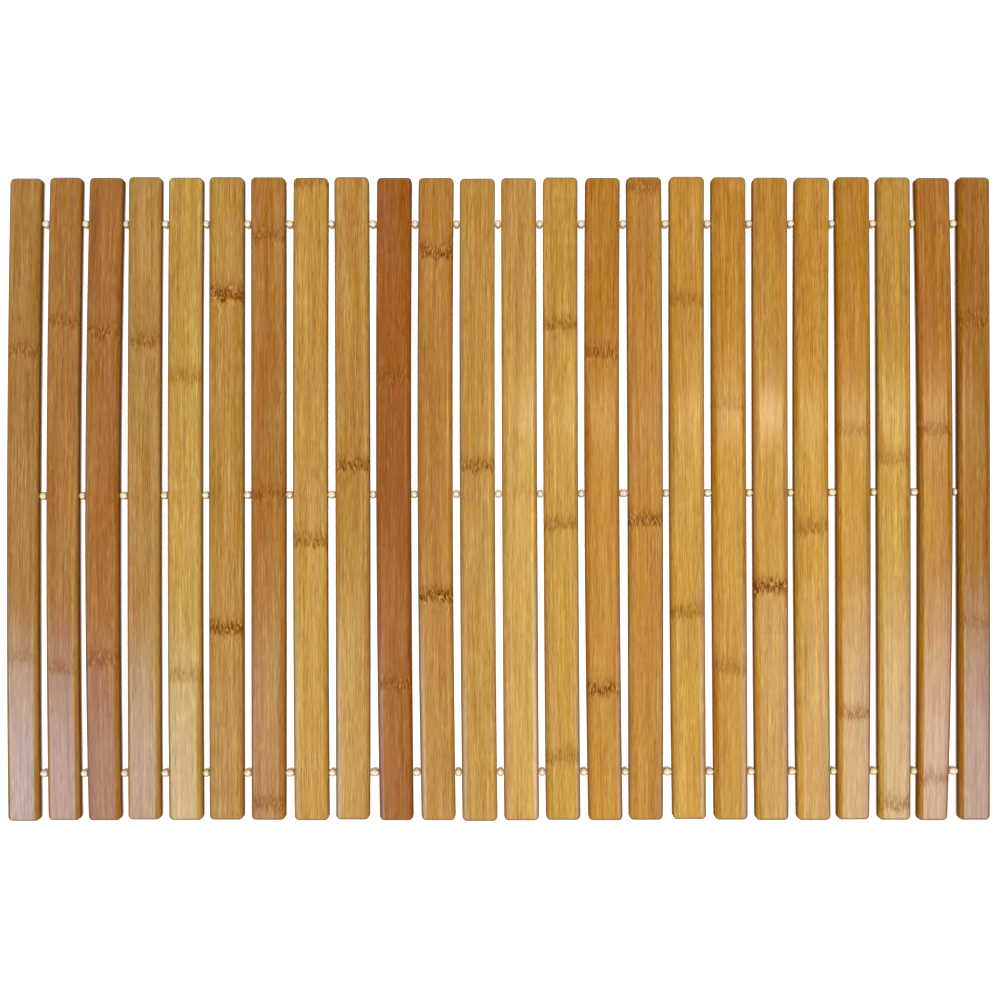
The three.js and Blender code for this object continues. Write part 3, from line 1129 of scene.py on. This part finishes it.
# Painted shade: brown low on each bead, with a little random dirt from the noise.
dirt_and_low_shade = rise(cloud, *CLOUD_CUT) * 0.2 + rise(attribute(bench, "low"), *LOW_SHADE_CUT) * 0.85
bead_sockets = {
    "Base Color": mix(dirt_and_low_shade, cream, DIRT_AND_SHADE_BROWN),
    "Roughness": cloud * 0.2 + 0.18,
    "Coat Weight": 0.4,
    "Coat Roughness": 0.1,
}
surface(bench, bead_sockets)
for node, beads in zip(CORD_NODES, bead_rows):
    beads.data.materials.append(ivory)
    beads.data.set_sharp_from_angle(angle=SHARP)
    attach(beads, "root")
    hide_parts(node)
print("Ivory finish on", [beads.name for beads in bead_rows])

# %% [markdown]
# ## Cords and knots
# A cord of three plies is a tube whose section has three lobes that turn as they go along. At each end of
# the mat the cord is tied off in a small overhand knot that sits in the pocket of the outer strip. An
# overhand knot is a trefoil, which has a short formula, so the knot is a tube that follows it.

# %% Cord meshes
CORD_RADIUS = 0.9 * MM
PLIES = 3
PLY_DEPTH = 0.16
TWIST_LENGTH = 6.0 * MM
CORD_STEP = 1.0 * MM
CORD_SIDES = 18
KNOT_LENGTH = 2.4 * MM
KNOT_RADIUS = 1.6 * MM
KNOT_TUBE = 0.52 * MM
KNOT_STEPS = 72
KNOT_SIDES = 10
SMALL_TURN = 0.01


def ply_radius(angle, along):
    """The radius of the twisted cord, with a groove between each two plies."""
    turn = angle - 2 * math.pi * along / TWIST_LENGTH
    return CORD_RADIUS * (1 - PLY_DEPTH + PLY_DEPTH * abs(math.cos(PLIES / 2 * turn)))


def cord_surface(start, end):
    """The twisted cord between two places along its line."""
    steps = round((end - start) / CORD_STEP)
    points, faces = turned([(step / steps, 1.0) for step in range(steps + 1)], CORD_SIDES, closed=False)
    shaped = []
    for share, side, up in points:
        along = start + share * (end - start)
        radius = ply_radius(math.atan2(up, side), along)
        shaped.append((along, side * radius, up * radius))
    return shaped, faces


def trefoil(turn, middle):
    """A point of the overhand knot's line."""
    reach = (KNOT_RADIUS - KNOT_TUBE) / 3
    side = (math.sin(turn) + 2 * math.sin(2 * turn)) * reach
    up = (math.cos(turn) - 2 * math.cos(2 * turn)) * reach
    along = middle - math.sin(3 * turn) * (KNOT_LENGTH / 2 - KNOT_TUBE)
    return Vector((along, side, up))


def knot_surface(middle):
    """A closed tube along the overhand knot."""
    points, faces = [], []
    for step in range(KNOT_STEPS):
        turn = 2 * math.pi * step / KNOT_STEPS
        centre = trefoil(turn, middle)
        ahead = (trefoil(turn + SMALL_TURN, middle) - trefoil(turn - SMALL_TURN, middle)).normalized()
        side = ahead.cross(Vector((1, 0, 0))).normalized()
        up = side.cross(ahead)
        for corner in range(KNOT_SIDES):
            angle = 2 * math.pi * corner / KNOT_SIDES
            points.append(centre + KNOT_TUBE * (math.cos(angle) * side + math.sin(angle) * up))
            following = (corner + 1) % KNOT_SIDES
            here, there = step * KNOT_SIDES, (step + 1) % KNOT_STEPS * KNOT_SIDES
            faces.append([here + corner, here + following, there + following, there + corner])
    return points, faces


def knotted_cord(name, cord):
    """One cord with the knot at each of its ends, as a single mesh."""
    half_knot = KNOT_LENGTH / 2
    shapes = [
        cord_surface(half_knot, cord.length - half_knot),
        knot_surface(half_knot),
        knot_surface(cord.length - half_knot),
    ]
    points, faces = [], []
    for shape in shapes:
        add_shape(points, faces, shape, cord.place)
    return new_piece(name, points, faces)


cord_pieces = [knotted_cord(node.replace("strand", "cord"), cord) for node, cord in zip(CORD_NODES, CORDS)]
print("Cords with", len(cord_pieces[0].data.polygons), "faces each")

# %% [markdown]
# ## Cord finish
# The cord is plain undyed yarn, matte and slightly fuzzy, with fine fibres and lighter and darker patches.
# Noise at two sizes gives both, and the grooves themselves are already in the mesh.

# %% Yarn material
FLUFF_SCALE = 2600.0
PATCH_SCALE = 260.0
FUZZ_DEPTH = 0.08 * MM
YARN_COLOURS = [(0.3, paint(176, 156, 122)), (0.7, paint(228, 216, 190))]

yarn = bpy.data.materials.new("cord")
bench = Bench(yarn)
here = bench.node("ShaderNodeTexCoord", {}, {}, output="Object")
fluff = bench.node("ShaderNodeTexNoise", {}, {"Vector": here, "Scale": FLUFF_SCALE, "Detail": 3.0})
patches = bench.node("ShaderNodeTexNoise", {}, {"Vector": here, "Scale": PATCH_SCALE, "Detail": 2.0})
threads = fluff * 0.6 + patches * 0.4
yarn_colour = bench.node("ShaderNodeValToRGB", {"stops": YARN_COLOURS}, {0: threads})
fuzz = bench.node("ShaderNodeBump", {}, {"Strength": 0.5, "Distance": FUZZ_DEPTH, "Height": fluff})
surface(bench, {"Base Color": yarn_colour, "Roughness": threads * 0.2 + 0.75, "Normal": fuzz})
for node, piece in zip(CORD_NODES, cord_pieces):
    piece.data.materials.append(yarn)
    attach(piece, "root")
    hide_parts(node)
print("Yarn finish on", [piece.name for piece in cord_pieces])

# %% [markdown]
# ## Picture settings and sizes
# The standard view keeps colours as they were mixed. The finished mat has to fit the packed model's box, so
# the largest step outside that box is printed.

# %% Set the view and print the sizes
bpy.context.scene.view_settings.view_transform = "Standard"
new_low, new_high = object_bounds()
steps_outside = [*(cad_low - new_low), *(new_high - cad_high)]
print("Largest step outside the packed box, in mm:", round(max(steps_outside) / MM, 3))
